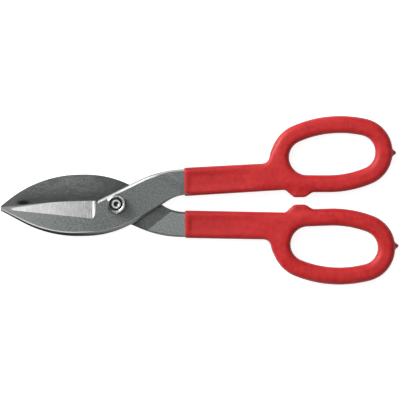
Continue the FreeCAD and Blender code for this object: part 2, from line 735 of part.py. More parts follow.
def place_in_row_frame(own_parts, turned_parts, nodes):
    """Turns the rear parts over and moves everything, so that the bounding box's bottom centre is the origin."""
    over = Rotation(Vector(1, 0, 0), 180)
    for part in turned_parts:
        part.Placement = Placement(Vector(), over).multiply(part.Placement)
    doc.recompute()
    box = FreeCAD.BoundBox()
    for node in nodes:
        box.add(node.Shape.optimalBoundingBox())
    for alias, value in (("row_x", -box.Center.x), ("row_y", -box.Center.y), ("row_z", -box.ZMin)):
        dims.set(dims.getCellFromAlias(alias), f"{round(value, 4) + 0.0}")
    doc.recompute()
    for part in own_parts + turned_parts:
        for letter, alias in zip("xyz", ("row_x", "row_y", "row_z")):
            part.setExpression(f"Placement.Base.{letter}", f"dims.{alias}")
    doc.recompute()


def check_document():
    """Stops if any object failed to compute, or if any shape is empty or invalid."""
    for item in doc.Objects:
        states = [state for state in item.State if state in ("Invalid", "Error")]
        if states:
            raise RuntimeError(f"{item.Label}: {states}")
        if hasattr(item, "Shape") and not item.isDerivedFrom("App::OriginFeature"):
            if item.Shape.isNull() or not item.Shape.isValid():
                raise RuntimeError(f"{item.Label}: bad shape")


fill_sheet()
front_half = make_half("front", square=False)
rear_half = make_half("rear", square=True)
front_grip = make_grip("front", front_half)
rear_grip = make_grip("rear", rear_half)
pivot_bolt = make_bolt("pivot_bolt")
lock_nut = make_nut("lock_nut")
nylon_insert = make_insert("nylon_insert")

nodes = [front_half, rear_half, front_grip, rear_grip, pivot_bolt, lock_nut, nylon_insert]
for node in nodes:
    node.Label = node.Name
place_in_row_frame(
    own_parts=[front_half, front_grip.Base, pivot_bolt, lock_nut, nylon_insert],
    turned_parts=[rear_half, rear_grip.Base],
    nodes=nodes,
)
doc.recompute()
check_document()

os.makedirs("parts", exist_ok=True)
for node in nodes:
    node.Shape.exportStep(f"parts/{node.Label}.step")
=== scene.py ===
"""Straight-pattern tin snips lying on a pale floor, seen from straight above."""

import json
import math

import bmesh
import bpy
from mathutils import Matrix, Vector


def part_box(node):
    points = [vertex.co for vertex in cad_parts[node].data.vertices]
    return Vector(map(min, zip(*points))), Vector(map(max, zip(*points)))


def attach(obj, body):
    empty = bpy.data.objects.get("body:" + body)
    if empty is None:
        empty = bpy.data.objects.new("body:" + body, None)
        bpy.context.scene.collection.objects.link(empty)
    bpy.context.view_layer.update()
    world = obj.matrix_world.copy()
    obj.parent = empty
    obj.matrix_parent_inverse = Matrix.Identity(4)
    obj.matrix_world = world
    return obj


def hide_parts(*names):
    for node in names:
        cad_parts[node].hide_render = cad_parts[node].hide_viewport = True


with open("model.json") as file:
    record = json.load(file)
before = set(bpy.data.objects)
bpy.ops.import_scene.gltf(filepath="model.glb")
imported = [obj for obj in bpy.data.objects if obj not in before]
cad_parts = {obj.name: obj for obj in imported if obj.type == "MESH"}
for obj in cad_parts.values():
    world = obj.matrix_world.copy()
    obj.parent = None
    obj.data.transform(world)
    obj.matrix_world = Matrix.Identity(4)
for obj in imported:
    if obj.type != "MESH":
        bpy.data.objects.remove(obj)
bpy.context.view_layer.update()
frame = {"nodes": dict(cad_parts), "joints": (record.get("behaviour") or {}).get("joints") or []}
nodes = frame["nodes"]

MM = 0.001
PIVOT = Vector(frame["joints"][0]["pos_m"])
FRONT_LOW, FRONT_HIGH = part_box("front_half")
MOUTH_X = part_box("front_grip")[0].x  # where both grips begin, behind the pivot

# "Ahead" is the distance from the pivot toward the blade's tip, and "over" is the height above the pivot
# in plan. Both are taken with the half turned as the front one lies.

# The forged outer face, which falls toward the tip and ramps down to the handle
FACE_Z = FRONT_HIGH.z - PIVOT.z  # its height over the shear plane
TANG_Z = 4.5 * MM                # the same height on the thinner handle
TIP_Z = 3.1 * MM                 # and at the blade's tip
TIP_X = PIVOT.x - FRONT_LOW.x    # how far ahead the tip lies
TAPER_X = 17.5 * MM              # where the blade starts to thin
RAMP_ANGLE = math.radians(52.8)  # direction in which the face ramps down to the handle
RAMP_START = 34.9 * MM           # where that ramp starts, along its direction from the pivot
RAMP_END = 41.5 * MM

# The spine's outline: a straight belly, a turn up, and a straight run to the tip
BELLY_Y = 23.75 * MM             # depth of the belly below the pivot
BELLY_TURN_X = 28.6 * MM         # where the turn starts
BELLY_TURN = 87 * MM             # its radius
TURN_END_X = 70.6 * MM           # where it ends in the straight run
TIP_RUN_ANGLE = math.radians(28.8)
TIP_SPINE_Y = -3.6 * MM          # height of the run's end, over the pivot
SPINE_BEVEL = 3.3 * MM           # height of the spine's bevel where the blade is thickest

# The dull land that the grinding leaves along the cutting edge
LAND_START = (-80 * MM, -1.67 * MM)  # a point on the land's edge, in the pivot frame
LAND_SLOPE = 0.123

# The painted dark reflection of the other blade's edge on the sliding face
REFLECTION_X = 70.8 * MM              # its centre, ahead of the pivot
REFLECTION_Y = 2.2 * MM               # and toward +Y from it, on either half
REFLECTION_LONG = 6.0 * MM            # half its length
REFLECTION_TALL = 2.2 * MM            # half its height

# Faces of a half, in millimetres from the pivot and by the way that they point
DOWN = (0, 0, -1)
DOWN_PLAY = 6                    # how many degrees a sliding or lower face may be off it
LAP_REACH = 0.5                  # the sliding face lies this close to the shear plane
CHEEK_FACING = (0, 0.288, 0.958)
CHEEK_PLAY = 3
CHEEK_BACK = -15                 # the cheek lies ahead of this
HOLLOW_FRONT = -20.5             # ends of the wheel's hollow at the cheek's back
HOLLOW_BACK = -15.3
BEVEL_RISE = math.sin(math.radians(35))  # upward share of the normal on the bevel over the throat
SPINE_RISE = math.sin(math.radians(45))  # and on the spine's bevel
RISE_PLAY = 0.03                 # how far either may be off
HALF_EDGE = 0.3 * MM             # rounding of a half's edges
FASTENER_EDGE = 0.12 * MM        # and of the bolt's, the nut's and the ring's
SHARP_ANGLE = math.radians(14)   # edges sharper than this are rounded

# The bolt's end and the nut, in millimetres from the pivot
UNSHADED_Z = 5                      # the bolt gets no painted shade below this
LEVEL_RISE = 0.9                 # upward share of the normal of a level face, at least
UPRIGHT_RISE = 0.2               # and of an upright one, at most
CENTRE_POINT = 1.2               # level faces within this reach are the point of the lathe centre
CENTRE_REACH = 3.0               # sloping faces beyond this reach are the end's bevel and the thread
CENTRE_UNSHADED_X = 1.4             # the lathe centre's wall gets no painted shade beyond this
NUT_HIGHLIGHT_X = 2.0               # the nut's bevels and lip get a painted highlight beyond this
NUT_SHADE_X = -3.0                # and painted shade on them ahead of this
NUT_SHADE_Y = 3.2                 # and below this

# The grips' skins. Their places are in millimetres from the pivot, x toward the bow's end and y toward
# the grip's own side.
SKIN_VOXEL = 0.7 * MM
FINE_VOXEL = 0.6 * MM
MOUTH_TRIM = 0.05 * MM           # how far behind the CAD grip's mouth the skin starts

# The trough in the flat sides of a grip's sleeve
TROUGH_DEPTH = 0.6
TROUGH_HALF_WIDTH = 10.4
TROUGH_X = 52                    # a point on its middle line
TROUGH_Y = 16.0
TROUGH_SLOPE = 0.041             # slope of that line
TROUGH_START = (53, 57)          # x between which it deepens
TROUGH_END = (84, 112)           # x between which it runs out
TROUGH_SIDE = (0.25, 0.85)       # shares of the half width between which it runs out sideways
FLAT_SIDE_Z = 3.5                # the flat sides lie farther from the shear plane than this

# The swelling of the bow's outer side where it grows out of the sleeve
SWELL = 1.0
SWELL_START = (33, 41)           # y between which it rises
SWELL_END = (45, 56)             # y between which it runs out
SWELL_BACK = (117, 128)          # x between which it runs out

# Stretches that are smoothed further: two corners, rounds, and whether it works upright instead of in plan
SOFT_STRETCHES = (
    ((108, 27), (123, 49), 60, False),  # where the bow grows out of the sleeve
    ((108, 27), (124, 49), 40, True),
    ((122, 0), (160, 8), 8, False),     # the stop lug's face
    ((106, 5), (152, 27), 40, True),    # between the sleeve, the stop lug and the bow
)

# Lamps: name, direction and distance from the floor's centre, width and height in metres, power in watts
LAMPS = (
    ("key", (-0.85, 0.68, 0.66), 1.5, 0.75, 0.75, 21.5),
    ("top", (-0.15, 0.3, 1.0), 1.8, 1.2, 1.2, 5.0),
    ("side", (-1.0, 0.1, 1.15), 1.4, 0.4, 1.6, 2.4),
    ("fill", (0.2, -1.0, 0.6), 1.6, 1.0, 0.4, 1.6),
)
WORLD_STRENGTH = 0.12
FLOOR_REACH = 3.0
FLOOR_DROP = 0.05 * MM           # keeps the floor clear of the bolt's flat head

LENS = 200.0
SENSOR = 36.0
VIEW_WIDTH = 302.3 * MM
VIEW_X = 62.9 * MM               # middle of the view, behind the pivot
VIEW_Y = 1.96 * MM               # and over it
VIEW_ROLL = math.radians(-0.97)


# ---------------------------------------------------------------- node helpers

class Shader:
    """A material's node tree with short ways to add and join nodes."""

    def __init__(self, name):
        self.material = bpy.data.materials.new(name)
        self.material.use_nodes = True
        self.tree = self.material.node_tree
        self.surface = self.tree.nodes["Principled BSDF"]
        self.place = self.add("ShaderNodeTexCoord").outputs["Object"]

    def add(self, kind, **settings):
        node = self.tree.nodes.new(kind)
        for name, value in settings.items():
            setattr(node, name, value)
        return node

    def feed(self, node, inputs):
        """Joins each input of a node to a socket, or sets it to a plain value."""
        for name, value in inputs.items():
            if isinstance(value, bpy.types.NodeSocket):
                self.tree.links.new(value, node.inputs[name])
            else:
                node.inputs[name].default_value = value

    def stretched(self, x, y, z):
        """Object coordinates scaled separately along each axis."""
        node = self.add("ShaderNodeMapping")
        self.feed(node, {"Vector": self.place, "Scale": (x, y, z)})
        return node.outputs["Vector"]

    def noise(self, vector, scale, detail=3.0, rough=0.55):
        node = self.add("ShaderNodeTexNoise")
        self.feed(node, {"Vector": vector, "Scale": scale, "Detail": detail, "Roughness": rough})
        return node.outputs["Fac"]

    def ramp(self, factor, low, high, start=0.0, end=1.0, kind="SMOOTHSTEP"):
        """A smooth step from start, at the factor's low value, to end, at its high one, or a LINEAR run."""
        node = self.add("ShaderNodeMapRange", interpolation_type=kind)
        self.feed(node, {"Value": factor, "From Min": low, "From Max": high})
        self.feed(node, {"To Min": start, "To Max": end})
        return node.outputs["Result"]

    def math(self, operation, first, second=0.0):
        node = self.add("ShaderNodeMath", operation=operation)
        self.feed(node, {0: first, 1: second})
        return node.outputs[0]

    def plus(self, first, second):
        return self.math("ADD", first, second)

    def minus(self, first, second):
        return self.math("SUBTRACT", first, second)

    def times(self, first, second):
        return self.math("MULTIPLY", first, second)

    def size(self, value):
        return self.math("ABSOLUTE", value)

    def parts(self, vector):
        """A vector's X, Y and Z."""
        node = self.add("ShaderNodeSeparateXYZ")
        self.feed(node, {"Vector": vector})
        return node.outputs

    def length(self, vector):
        node = self.add("ShaderNodeVectorMath", operation="LENGTH")
        self.feed(node, {0: vector})
        return node.outputs["Value"]

    def mix(self, factor, first, second):
        node = self.add("ShaderNodeMix", data_type="RGBA")
        self.feed(node, {"Factor": factor, "A": first, "B": second})
        return node.outputs["Result"]

    def bump(self, height, strength, distance, before=None):
        """A normal that a height tilts, on top of the one that came before."""
        node = self.add("ShaderNodeBump")
        self.feed(node, {"Height": height, "Strength": strength, "Distance": distance})
        if before:
            self.feed(node, {"Normal": before})
        return node.outputs["Normal"]

    def finish(self, **inputs):
        """Sets the surface's inputs, whose names have _ for each space, and gives the material."""
        self.feed(self.surface, {name.replace("_", " "): value for name, value in inputs.items()})
        return self.material


def grey(value, cool=0.0):
    """An RGBA grey, a little cool."""
    return (value * (1 - cool), value * (1 + 0.25 * cool), value, 1.0)


def ahead_of_pivot(s):
    """How far a point lies ahead of the pivot."""
    return s.minus(PIVOT.x, s.parts(s.place)["X"])


def over_pivot(s):
    """How far a point lies over the pivot in plan, with its half turned as the front one lies."""
    place = s.parts(s.place)
    side = s.math("SIGN", s.minus(place["Z"], PIVOT.z))
    return s.times(s.minus(place["Y"], PIVOT.y), side)


def above_line(s, start, slope):
    """How far a point of a half lies beyond a line in plan, on the cutting edge's side of it."""
    past_start = s.plus(ahead_of_pivot(s), start[0])
    line = s.minus(start[1], s.times(past_start, slope))
    return s.minus(over_pivot(s), line)


def inside_spine(s):
    """How far a point of the blade lies inside the spine's outline, in plan."""
    ahead = ahead_of_pivot(s)
    over = over_pivot(s)
    from_centre = s.add("ShaderNodeCombineXYZ")
    s.feed(from_centre, {
        "X": s.math("MAXIMUM", s.minus(ahead, BELLY_TURN_X), 0.0),
        "Y": s.minus(over, BELLY_TURN - BELLY_Y),
    })
    in_turn = s.minus(BELLY_TURN, s.length(from_centre.outputs["Vector"]))
    run_rise = s.times(s.minus(TIP_X, ahead), math.tan(TIP_RUN_ANGLE))
    over_run = s.plus(s.minus(over, TIP_SPINE_Y), run_rise)
    in_run = s.times(over_run, math.cos(TIP_RUN_ANGLE))
    on_run = s.math("GREATER_THAN", ahead, TURN_END_X)
    on_turn = s.minus(1.0, on_run)
    return s.plus(s.times(in_run, on_run), s.times(in_turn, on_turn))


def depth_below_face(s):
    """How far a point lies below the outer face."""
    place = s.parts(s.place)
    height = s.size(s.minus(place["Z"], PIVOT.z))
    across = s.size(s.minus(place["Y"], PIVOT.y))
    ahead = ahead_of_pivot(s)
    fall = (FACE_Z - TIP_Z) / (TIP_X - TAPER_X)
    past_taper = s.math("MAXIMUM", s.minus(ahead, TAPER_X), 0.0)
    taper = s.times(past_taper, fall)
    back_share = s.times(ahead, -math.cos(RAMP_ANGLE))
    side_share = s.times(across, math.sin(RAMP_ANGLE))
    along_ramp = s.plus(back_share, side_share)
    ramp = s.ramp(along_ramp, RAMP_START, RAMP_END, 0.0, FACE_Z - TANG_Z, "LINEAR")
    face = s.minus(s.minus(FACE_Z, taper), ramp)
    return s.minus(face, height)


# ---------------------------------------------------------------- materials

def paint_spine_light(s, tone):
    """Paints on a tone a highlight along the spine's crease, and shade outside it."""
    ahead = ahead_of_pivot(s)
    crease_in = s.ramp(ahead, 20 * MM, TIP_X, 3.1 * MM, 1.3 * MM, "LINEAR")
    past_crease = s.minus(inside_spine(s), crease_in)
    on_blade = s.ramp(ahead, 8 * MM, 34 * MM)
    # painted shade outside the crease, on the blade
    outside = s.ramp(past_crease, -0.75 * MM, -0.2 * MM, 0.96, 0.0)
    # painted highlight along the crease, fading toward the tip
    at_crease = s.ramp(s.size(past_crease), 0.15 * MM, 0.7 * MM, 1.0, 0.0)
    highlight_share = s.ramp(ahead, 64 * MM, 82 * MM, 0.8, 0.3)
    line = s.times(s.times(at_crease, on_blade), highlight_share)
    tone = s.mix(line, tone, grey(0.95))
    return s.mix(s.times(outside, on_blade), tone, grey(0.02))


def forged_grain(s):
    """The fine grain that shot-blasting leaves."""
    return s.noise(s.place, scale=900, detail=4.0, rough=0.7)


def forged_steel(name, lift):
    """Shot-blasted forging: fine grain, dark pits, slow blotches, and paler on the shank and at the tip."""
    s = Shader(name)
    ahead = ahead_of_pivot(s)
    grain = forged_grain(s)
    pits = s.ramp(s.noise(s.place, scale=420, detail=2.0), 0.62, 0.74)
    blotch = s.ramp(s.noise(s.place, scale=45, detail=3.0), 0.35, 0.7, 0.0, 0.3)
    # the face is paler toward the tip and on the shank
    tip_paling = s.ramp(ahead, 22 * MM, 90 * MM, 0.0, 0.70, "LINEAR")
    shank_paling = s.ramp(ahead, -60 * MM, 0.0, 0.3, 0.0)
    tone = s.mix(s.ramp(grain, 0.32, 0.70), grey(0.125 * lift, 0.06), grey(0.345 * lift, 0.06))
    tone = s.mix(blotch, tone, grey(0.18 * lift, 0.06))
    tone = s.mix(tip_paling, tone, grey(0.36 * lift, 0.05))
    tone = s.mix(shank_paling, tone, grey(0.29 * lift, 0.06))
    tone = s.mix(s.times(pits, 0.4), tone, grey(0.08))
    # painted highlight along the spine's crease and painted shade outside it
    tone = paint_spine_light(s, tone)
    shine = s.ramp(grain, 0.3, 0.7, 0.42, 0.58)
    relief = s.bump(grain, 0.35, 0.08 * MM)
    relief = s.bump(pits, 0.25, -0.05 * MM, relief)
    return s.finish(Base_Color=tone, Roughness=shine, Normal=relief, Metallic=0.9)


def spine_steel():
    """The bevel round the spine: a painted highlight along its upper edge, and painted shade below that on
    the blade.
    """
    s = Shader("spine_steel")
    ahead = ahead_of_pivot(s)
    grain = forged_grain(s)
    down_bevel = s.math("DIVIDE", depth_below_face(s), SPINE_BEVEL)
    # painted shade on the lower part of the bevel, on the blade
    dark = s.times(s.ramp(down_bevel, 0.25, 0.80), s.ramp(ahead, -20 * MM, 15 * MM))
    # painted highlight along the bevel's upper edge
    highlight_share = s.times(s.ramp(down_bevel, 0.08, 0.24, 1.0, 0.0), s.ramp(ahead, 5 * MM, 30 * MM, 1.0, 0.0))
    tone = s.mix(s.ramp(grain, 0.32, 0.70), grey(0.22, 0.06), grey(0.34, 0.06))
    tone = s.mix(dark, tone, grey(0.05))
    tone = s.mix(highlight_share, tone, grey(0.55))
    tone = paint_spine_light(s, tone)
    shine = s.ramp(grain, 0.3, 0.7, 0.42, 0.55)
    relief = s.bump(grain, 0.3, 0.06 * MM)
    return s.finish(Base_Color=tone, Roughness=shine, Normal=relief, Metallic=0.9)


def ground_steel():
    """The ground cheek: close grinding lines across the blade, duller at the heel, the land and the tip."""
    s = Shader("ground_cheek")
    ahead = ahead_of_pivot(s)
    lines = s.noise(s.stretched(1500, 160, 160), scale=1.0, detail=4.0, rough=0.7)
    stripe = s.ramp(lines, 0.25, 0.75)
    fresh = s.ramp(ahead, 20 * MM, 70 * MM, kind="LINEAR")
    cloud = s.ramp(s.noise(s.place, scale=150, detail=3.0), 0.35, 0.75, 0.0, 0.4)
    land = s.ramp(above_line(s, LAND_START, LAND_SLOPE), -0.5 * MM, 0.4 * MM)
    tip = s.ramp(ahead, 77 * MM, 81 * MM)
    worn_tone = s.mix(stripe, grey(0.22), grey(0.53))
    fresh_tone = s.mix(stripe, grey(0.46), grey(0.79))
    tone = s.mix(fresh, worn_tone, fresh_tone)
    tone = s.mix(cloud, tone, grey(0.44))
    tone = s.mix(land, tone, grey(0.17))
    tone = s.mix(tip, tone, grey(0.22))
    shine = s.ramp(lines, 0.3, 0.7, 0.42, 0.55)
    relief = s.bump(lines, 0.15, 0.02 * MM)
    return s.finish(Base_Color=tone, Roughness=shine, Normal=relief, Metallic=1.0)


def hollow_shoulder():
    """The wheel's hollow at the cheek's end: bright in its middle, with painted shade toward the cheek and
    up to the forged face.
    """
    s = Shader("ground_shoulder")
    ahead = ahead_of_pivot(s)
    lines = s.noise(s.stretched(160, 1500, 160), scale=1.0, detail=3.0, rough=0.6)
    tip_side = s.ramp(ahead, 18.0 * MM, 18.9 * MM)
    face_side = s.ramp(ahead, 15.4 * MM, 16.6 * MM, 1.0, 0.0)
    tone = s.mix(s.ramp(lines, 0.25, 0.75), grey(0.40), grey(0.52))
    # painted shade at the hollow's ends, toward the cheek and toward the forged face, which keeps its
    # highlight in the middle
    tone = s.mix(tip_side, tone, grey(0.22))
    tone = s.mix(face_side, tone, grey(0.26))
    shine = s.ramp(lines, 0.3, 0.7, 0.5, 0.6)
    relief = s.bump(lines, 0.15, 0.02 * MM)
    return s.finish(Base_Color=tone, Roughness=shine, Normal=relief, Metallic=1.0)


def painted_edge_reflection(s):
    """A painted dark reflection of the other blade's edge on the sliding face, beside the cutting edge near
    the tip.
    """
    reflection_place = s.add("ShaderNodeMapping")
    s.feed(reflection_place, {
        "Vector": s.place,
        "Location": (-(PIVOT.x - REFLECTION_X) / REFLECTION_LONG, -(PIVOT.y + REFLECTION_Y) / REFLECTION_TALL, 0.0),
        "Scale": (1 / REFLECTION_LONG, 1 / REFLECTION_TALL, 0.0),
    })
    return s.ramp(s.length(reflection_place.outputs["Vector"]), 0.35, 1.15, 1.0, 0.0)


def lap_steel():
    """The sliding face: dark and hollow-ground, with painted light that lightens it away from the cutting
    edge and behind the bolt.
    """
    s = Shader("ground_lap")
    ahead = ahead_of_pivot(s)
    across = s.size(s.minus(s.parts(s.place)["Y"], PIVOT.y))
    lines = s.noise(s.stretched(90, 1500, 90), scale=1.0, detail=2.0, rough=0.5)
    cloud = s.noise(s.stretched(1.0, 2.5, 1.0), scale=70, detail=3.0)
    scuffs = s.noise(s.stretched(1.0, 1.8, 1.0), scale=520, detail=3.0, rough=0.65)
    marks = s.ramp(scuffs, 0.38, 0.62, 0.0, 0.5)
    # painted light away from the cutting edge, as the hollow-ground face catches it
    lit_away_from_edge = s.times(s.ramp(across, 3 * MM, 17 * MM), s.ramp(ahead, -15 * MM, 30 * MM))
    # painted light behind the bolt, against the shadow of the front half
    behind_bolt = s.ramp(ahead, -22 * MM, -12 * MM, 0.75, 0.0)
    light = s.times(s.math("MAXIMUM", lit_away_from_edge, behind_bolt), 0.8)
    tip = s.ramp(ahead, 68 * MM, 80 * MM, 0.0, 0.7)
    tone = s.mix(s.ramp(lines, 0.25, 0.75), grey(0.07, 0.03), grey(0.11, 0.03))
    tone = s.mix(light, tone, grey(0.255, 0.03))
    tone = s.mix(s.ramp(cloud, 0.4, 0.75, 0.0, 0.35), tone, grey(0.09, 0.03))
    tone = s.mix(marks, tone, grey(0.07, 0.03))
    tone = s.mix(tip, tone, grey(0.16, 0.03))
    # painted dark reflection of the other blade's edge, near the tip
    tone = s.mix(s.times(painted_edge_reflection(s), 0.85), tone, grey(0.006))
    shine = s.ramp(cloud, 0.3, 0.7, 0.40, 0.5)
    relief = s.bump(lines, 0.12, 0.02 * MM)
    return s.finish(Base_Color=tone, Roughness=shine, Normal=relief, Metallic=1.0)


def bright_bevel():
    """The bevel on the outer side: ground bright, with a painted highlight over the throat, and painted
    shade at its foot and toward the grip.
    """
    s = Shader("ground_bevel")
    grain = s.noise(s.place, scale=700, detail=3.0, rough=0.6)
    speckle = s.ramp(grain, 0.3, 0.7)
    # painted highlight over the throat, and painted shade toward the grip
    throat = s.ramp(ahead_of_pivot(s), -33 * MM, -24 * MM)
    # painted shade at the bevel's foot
    foot = s.ramp(depth_below_face(s), 1.9 * MM, 2.4 * MM)
    shaded_tone = s.mix(speckle, grey(0.36), grey(0.50))
    lit_tone = s.mix(speckle, grey(0.72), grey(0.96))
    tone = s.mix(throat, shaded_tone, lit_tone)
    tone = s.mix(foot, tone, grey(0.20))
    shine = s.ramp(grain, 0.3, 0.7, 0.35, 0.5)
    relief = s.bump(grain, 0.2, 0.04 * MM)
    return s.finish(Base_Color=tone, Roughness=shine, Normal=relief, Metallic=0.65)


def dipped_vinyl():
    """Red dip coating: satin, mottled, faint orange peel, with painted shade on its upright sides, and
    darker at the mouth.
    """
    s = Shader("dipped_vinyl")
    mottle = s.noise(s.place, scale=260, detail=3.0, rough=0.6)
    cloud = s.noise(s.stretched(1.0, 2.2, 1.0), scale=55, detail=2.0)
    facing_up = s.size(s.parts(s.add("ShaderNodeNewGeometry").outputs["Normal"])["Z"])
    # painted shade on the upright sides
    upright = s.ramp(facing_up, 0.06, 0.50, 0.95, 0.0)
    mouth = s.ramp(ahead_of_pivot(s), -110 * MM, -60 * MM, 0.0, 0.26)
    tone = s.mix(s.ramp(mottle, 0.3, 0.7), (0.60, 0.016, 0.018, 1), (0.74, 0.026, 0.028, 1))
    tone = s.mix(s.ramp(cloud, 0.35, 0.7, 0.0, 0.45), tone, (0.80, 0.035, 0.035, 1))
    tone = s.mix(upright, tone, (0.10, 0.003, 0.004, 1))
    tone = s.mix(mouth, tone, (0.26, 0.008, 0.010, 1))
    shine = s.ramp(cloud, 0.3, 0.7, 0.40, 0.52)
    relief = s.bump(s.noise(s.place, scale=700, detail=2.0), 0.2, 0.06 * MM)
    relief = s.bump(s.noise(s.place, scale=130, detail=2.0), 0.25, 0.2 * MM, relief)
    return s.finish(Base_Color=tone, Roughness=shine, Normal=relief, Specular_IOR_Level=0.4)


def plated_steel(name, dark, light):
    """Zinc plating with a faint texture, between two greys."""
    s = Shader(name)
    fine = s.noise(s.place, scale=1400, detail=3.0)
    cloud = s.noise(s.place, scale=320, detail=2.0)
    tone = s.mix(s.ramp(cloud, 0.3, 0.7), grey(dark), grey(light))
    shine = s.ramp(fine, 0.3, 0.7, 0.16, 0.28)
    relief = s.bump(fine, 0.15, 0.03 * MM)
    return s.finish(Base_Color=tone, Roughness=shine, Normal=relief, Metallic=1.0)


def black_nylon():
    """The lock nut's nylon ring. It also serves as painted shade on the bolt's end."""
    s = Shader("black_nylon")
    fine = s.noise(s.place, scale=1100, detail=2.0)
    tone = s.mix(s.ramp(fine, 0.3, 0.7), grey(0.004), grey(0.012))
    shine = s.ramp(fine, 0.3, 0.7, 0.5, 0.65)
    relief = s.bump(fine, 0.2, 0.04 * MM)
    return s.finish(Base_Color=tone, Roughness=shine, Normal=relief)


def pale_floor():
    """A plain white studio sweep that is lit evenly."""
    s = Shader("pale_floor")
    return s.finish(
        Base_Color=(0.62, 0.62, 0.62, 1), Roughness=0.9,
        Emission_Color=(1, 1, 1, 1), Emission_Strength=0.86,
    )


# ---------------------------------------------------------------- steel parts

def from_pivot(point, side):
    """A point's x, y and z in millimetres from the pivot, with its half turned as the front one lies.

    side is 1 for the front half and -1 for the rear, here and below.
    """
    x = (point.x - PIVOT.x) / MM
    y = side * (point.y - PIVOT.y) / MM
    z = side * (point.z - PIVOT.z) / MM
    return x, y, z


def is_near(normal, direction, degrees):
    """True if a normal is within so many degrees of a direction."""
    return normal.angle(Vector(direction), math.pi) < math.radians(degrees)


def finish_of(normal, x, y, z):
    """The finish that machining leaves on a half's face with that normal and centre."""
    in_hollow = HOLLOW_FRONT < x < HOLLOW_BACK and z > 0
    leans_ahead = normal.x < -0.1 and normal.z < 0.97
    rises_as_bevel = abs(normal.z - BEVEL_RISE) < RISE_PLAY and z > 1
    rises_as_spine = abs(normal.z - SPINE_RISE) < RISE_PLAY and z > 0.5
    if is_near(normal, DOWN, DOWN_PLAY):
        return "lap" if abs(z) < LAP_REACH else "underside"
    if is_near(normal, CHEEK_FACING, CHEEK_PLAY) and x < CHEEK_BACK:
        return "cheek"
    if in_hollow and leans_ahead:
        return "shoulder"
    if rises_as_bevel and normal.y > 0.6:
        return "bevel"
    if rises_as_spine and normal.y < 0:
        return "spine"
    return "forged"


def finish_half(name, side):
    """Gives each face of a half its finish."""
    piece = nodes[name]
    mesh = piece.data
    mesh.materials.clear()
    for material in FINISHES.values():
        mesh.materials.append(material)
    order = list(FINISHES)
    for face in mesh.polygons:
        normal = Vector((face.normal.x, side * face.normal.y, side * face.normal.z))
        face.material_index = order.index(finish_of(normal, *from_pivot(face.center, side)))
    soften_edges(piece, HALF_EDGE)


def finish_fastener(name, choose):
    """Gives each face of a part of the pivot the material that choose picks from its normal and centre."""
    piece = nodes[name]
    mesh = piece.data
    mesh.materials.clear()
    chosen = [PLATED, HIGHLIGHT_PLATED, SHADED_PLATED, NYLON_AND_SHADE]
    for material in chosen:
        mesh.materials.append(material)
    for face in mesh.polygons:
        face.material_index = chosen.index(choose(face.normal, *from_pivot(face.center, 1)))
    soften_edges(piece, FASTENER_EDGE)


def bolt_finish(normal, x, y, z):
    """The bolt is plated, with painted shade on its thread, its end's bevel and most of its lathe centre."""
    if z < UNSHADED_Z:
        return PLATED
    reach = math.hypot(x, y)
    if normal.z > LEVEL_RISE:
        unshaded = reach > CENTRE_POINT
    else:
        unshaded = reach <= CENTRE_REACH and x > CENTRE_UNSHADED_X
    return PLATED if unshaded else NYLON_AND_SHADE


def nut_finish(normal, x, y, z):
    """The nut's upright faces get painted shade. The others get a painted highlight toward the grips, and
    painted shade toward the tip and low down.
    """
    shaded = x < NUT_SHADE_X and y < NUT_SHADE_Y
    if abs(normal.z) < UPRIGHT_RISE:
        return SHADED_PLATED
    if x > NUT_HIGHLIGHT_X:
        return HIGHLIGHT_PLATED
    return SHADED_PLATED if shaded else PLATED


def ring_finish(normal, x, y, z):
    """The whole ring is black nylon."""
    return NYLON_AND_SHADE


def soften_edges(piece, width):
    """Rounds a CAD node's sharp edges a little, so that they catch the light."""
    weld = piece.modifiers.new("weld", "WELD")
    weld.merge_threshold = 0.002 * MM
    bevel = piece.modifiers.new("edge", "BEVEL")
    bevel.width = width
    bevel.segments = 2
    bevel.limit_method = "ANGLE"
    bevel.angle_limit = SHARP_ANGLE
    bevel.harden_normals = True
    bevel.use_clamp_overlap = True


# ---------------------------------------------------------------- dipped grips

def smooth_step(value, low, high):
    """0 below low, 1 above high, and a smooth rise between."""
    share = min(max((value - low) / (high - low), 0.0), 1.0)
    return share * share * (3 - 2 * share)


def filled_copy(grip_name, half_name):
    """A mesh of the grip together with the whole half that it covers."""
    shell = bmesh.new()
    shell.from_mesh(nodes[grip_name].data)
    shell.from_mesh(nodes[half_name].data)
    mesh = bpy.data.meshes.new(f"{grip_name}_skin")
    shell.to_mesh(mesh)
    shell.free()
    return mesh


def apply_modifiers(piece):
    """Replaces the piece's mesh with its evaluated one."""
    bpy.context.view_layer.update()
    evaluated = piece.evaluated_get(bpy.context.evaluated_depsgraph_get())
    made = bpy.data.meshes.new_from_object(evaluated)
    piece.modifiers.clear()
    piece.data = made


def remesh(piece, voxel):
    """Melts the piece into one closed skin."""
    modifier = piece.modifiers.new("skin", "REMESH")
    modifier.mode = "VOXEL"
    modifier.voxel_size = voxel
    apply_modifiers(piece)


def smooth_skin(piece, rounds):
    """Smooths the whole piece."""
    modifier = piece.modifiers.new("smooth", "SMOOTH")
    modifier.factor = 0.5
    modifier.iterations = rounds
    apply_modifiers(piece)


def cut_at_mouth(piece):
    """Removes everything ahead of the grip's mouth and closes the cut."""
    shape = bmesh.new()
    shape.from_mesh(piece.data)
    everything = shape.verts[:] + shape.edges[:] + shape.faces[:]
    cut = bmesh.ops.bisect_plane(
        shape, geom=everything, plane_co=(MOUTH_X + MOUTH_TRIM, 0, 0), plane_no=(-1, 0, 0), clear_outer=True)
    rim = [item for item in cut["geom_cut"] if isinstance(item, bmesh.types.BMEdge)]
    bmesh.ops.contextual_create(shape, geom=rim)
    shape.to_mesh(piece.data)
    shape.free()


